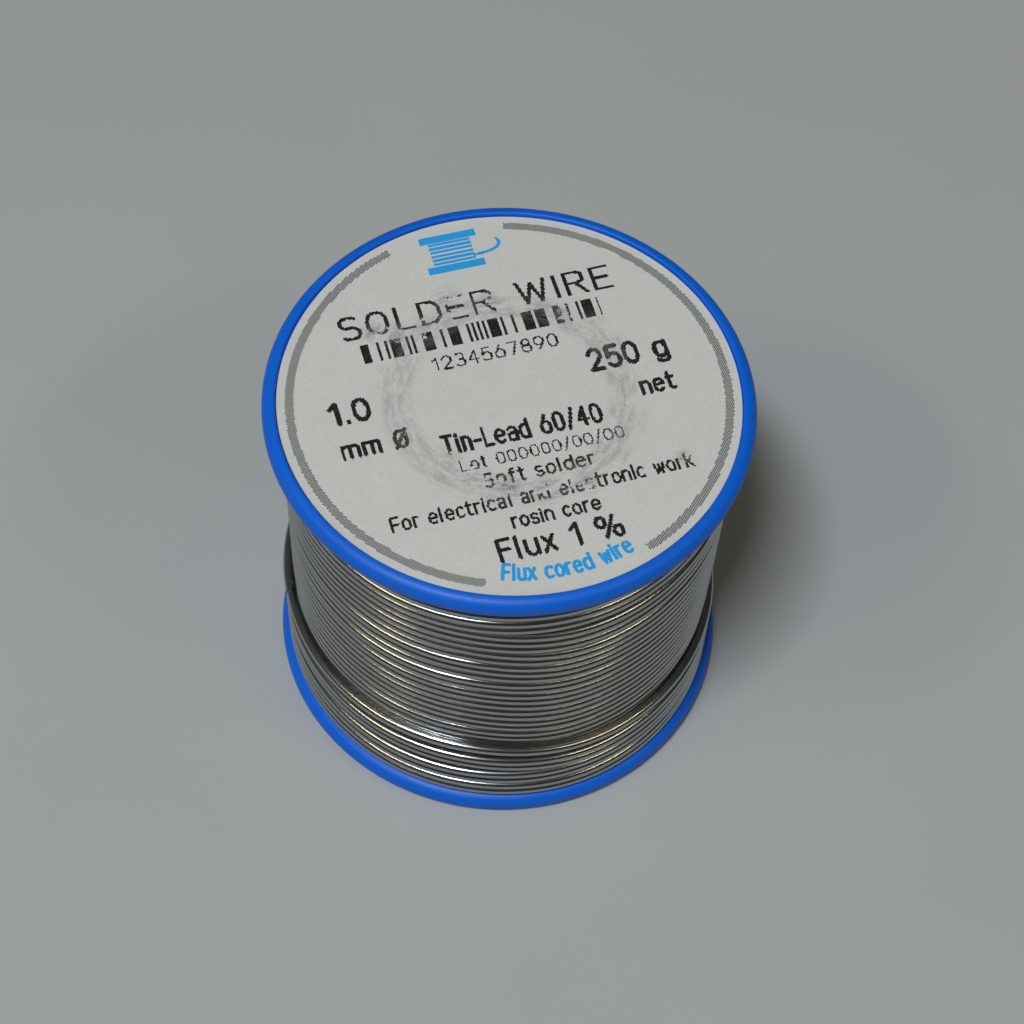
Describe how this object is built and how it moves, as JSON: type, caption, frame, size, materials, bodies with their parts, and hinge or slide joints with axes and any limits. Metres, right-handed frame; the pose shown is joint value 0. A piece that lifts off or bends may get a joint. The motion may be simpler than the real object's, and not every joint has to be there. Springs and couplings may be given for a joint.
{
  "type": "solder wire spool",
  "caption": "Blue plastic spool wound with bright flux-cored solder wire, with a printed round paper label on its upper flange and a free wire end that bends out.",
  "frame": {"origin": "centre of the lower flange's underside, on the surface that the spool stands on", "axes": "+Z is the spool's axis, up through the label; +Y points to the top of the label's print and +X along its lines, left to right"},
  "size_m": [0.0448, 0.0448, 0.04],
  "materials": {
    "spool_plastic": "saturated blue moulded polystyrene, semi-gloss",
    "label_paper": "matt warm white label paper with black and blue print and grey scuffs",
    "solder": "bright drawn tin-lead alloy, grey with a slightly yellow cast",
    "flux": "amber rosin flux"
  },
  "bodies": {
    "spool": {"lower_spool_half": "spool_plastic", "top_label": "label_paper", "upper_spool_half": "spool_plastic", "winding_layer_01": "solder", "winding_layer_02": "solder", "winding_layer_03": "solder", "winding_layer_04": "solder", "winding_layer_05": "solder", "winding_layer_06": "solder", "winding_layer_07": "solder", "winding_layer_08": "solder", "winding_layer_09": "solder", "winding_layer_10": "solder", "winding_layer_11": "solder", "winding_layer_12": "solder", "winding_part_layer": "solder", "wire_start": "solder"},
    "wire_end": {"wire_free_end": "solder", "flux_core": "flux"}
  },
  "joints": [
    {"name": "wire_end_bend", "type": "hinge", "parent": "spool", "child": "wire_end", "pos_m": [-0.00994, 0.01869, 0.01262], "axis": [0, 0, -1], "range_deg": [0, 80]}
  ]
}
